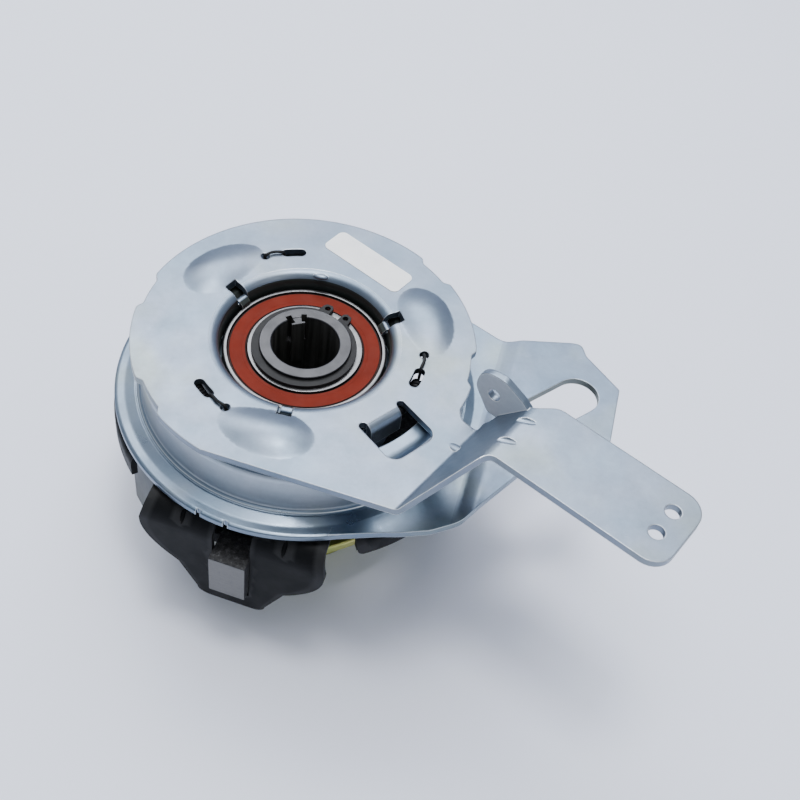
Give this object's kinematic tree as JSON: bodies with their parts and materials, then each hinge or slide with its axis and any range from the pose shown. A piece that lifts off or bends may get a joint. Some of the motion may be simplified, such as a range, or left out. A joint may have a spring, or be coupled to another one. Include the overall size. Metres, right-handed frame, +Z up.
{
  "type": "ball-ramp clutch",
  "caption": "Cable-operated ball-ramp clutch: a lever plate turns on a bearing and presses a friction disc that links a hub to a belt pulley.",
  "frame": {"origin": "centre of the bore in the plane of the pulley's lower face, on which the part rests", "axes": "+Z up along the hub's axis towards the lever plate, +X towards the torque arm"},
  "size_m": [0.2157, 0.1567, 0.119],
  "materials": {
    "steel": "machined, lightly oiled",
    "black_steel": "black oxide",
    "zinc_plated_steel": "bright zinc plate",
    "black_pressing": "satin black",
    "orange_seal": "matte moulded rubber",
    "yellow_zinc": "yellow passivated zinc",
    "friction_lining": "pressed friction material",
    "sintered_iron": "granular, ground on its outer face",
    "label_film": "plain white film"
  },
  "bodies": {
    "hub": {"hub": "steel", "disc_key": "steel", "top_circlip": "black_steel", "bottom_circlip": "black_steel", "upper_bearing_inner_ring": "steel", "pulley_bearing_upper_inner_ring": "steel", "pulley_bearing_lower_inner_ring": "steel"},
    "bearing_housing": {"upper_bearing_outer_ring": "steel", "upper_bearing_balls": "steel", "upper_bearing_top_seal": "orange_seal", "upper_bearing_bottom_seal": "orange_seal"},
    "lever_plate": {"upper_cam_plate": "zinc_plated_steel", "blank_label": "label_film", "return_spring_1": "black_steel", "return_spring_2": "black_steel", "return_spring_3": "black_steel"},
    "cam_balls": {"cam_ball_1": "steel", "cam_ball_2": "steel", "cam_ball_3": "steel"},
    "torque_plate": {"torque_plate": "zinc_plated_steel", "lower_bearing_outer_ring": "steel", "lower_bearing_balls": "steel"},
    "output": {"pulley": "yellow_zinc", "basket": "black_pressing", "basket_leg_1": "zinc_plated_steel", "basket_leg_2": "zinc_plated_steel", "basket_leg_3": "zinc_plated_steel", "leg_screw_1": "black_steel", "leg_screw_2": "black_steel", "leg_screw_3": "black_steel", "release_spring_1": "black_steel", "release_spring_2": "black_steel", "release_spring_3": "black_steel", "pulley_bearing_upper_outer_ring": "steel", "pulley_bearing_upper_balls": "steel", "pulley_bearing_lower_outer_ring": "steel", "pulley_bearing_lower_balls": "steel"},
    "pressure_plate": {"pressure_plate": "sintered_iron", "lower_bearing_inner_ring": "steel"},
    "friction_disc": {"friction_disc": "steel", "upper_lining": "friction_lining", "lower_lining": "friction_lining"}
  },
  "joints": [
    {"name": "bearing_spin", "type": "hinge", "parent": "hub", "child": "bearing_housing", "pos_m": [0, 0, 0.085], "axis": [0, 0, 1], "continuous": true},
    {"name": "lever_turn", "type": "hinge", "parent": "bearing_housing", "child": "lever_plate", "pos_m": [0, 0, 0.095], "axis": [0, 0, 1], "range_deg": [0, 20], "stiffness_Nm_per_rad": 1.2, "springref_deg": -14.32},
    {"name": "ball_orbit", "type": "hinge", "parent": "bearing_housing", "child": "cam_balls", "pos_m": [0, 0, 0.094], "axis": [0, 0, 1], "range_deg": [0, 10]},
    {"name": "torque_plate_slide", "type": "slide", "parent": "bearing_housing", "child": "torque_plate", "axis": [0, 0, -1], "range_m": [0, 0.0015]},
    {"name": "pulley_spin", "type": "hinge", "parent": "hub", "child": "output", "pos_m": [0, 0, 0.014], "axis": [0, 0, 1], "continuous": true},
    {"name": "pressure_plate_slide", "type": "slide", "parent": "output", "child": "pressure_plate", "axis": [0, 0, -1], "range_m": [0, 0.0015], "deforming": ["release_spring_1", "release_spring_2", "release_spring_3"]},
    {"name": "friction_disc_slide", "type": "slide", "parent": "hub", "child": "friction_disc", "axis": [0, 0, -1], "range_m": [0, 0.00075]}
  ],
  "couplings": [
    {"joint": "ball_orbit", "follows": "lever_turn", "ratio": 0.5},
    {"joint": "torque_plate_slide", "follows": "lever_turn", "m_per_rad": 0.0042968},
    {"joint": "pressure_plate_slide", "follows": "lever_turn", "m_per_rad": 0.0042968},
    {"joint": "friction_disc_slide", "follows": "lever_turn", "m_per_rad": 0.0021484}
  ]
}
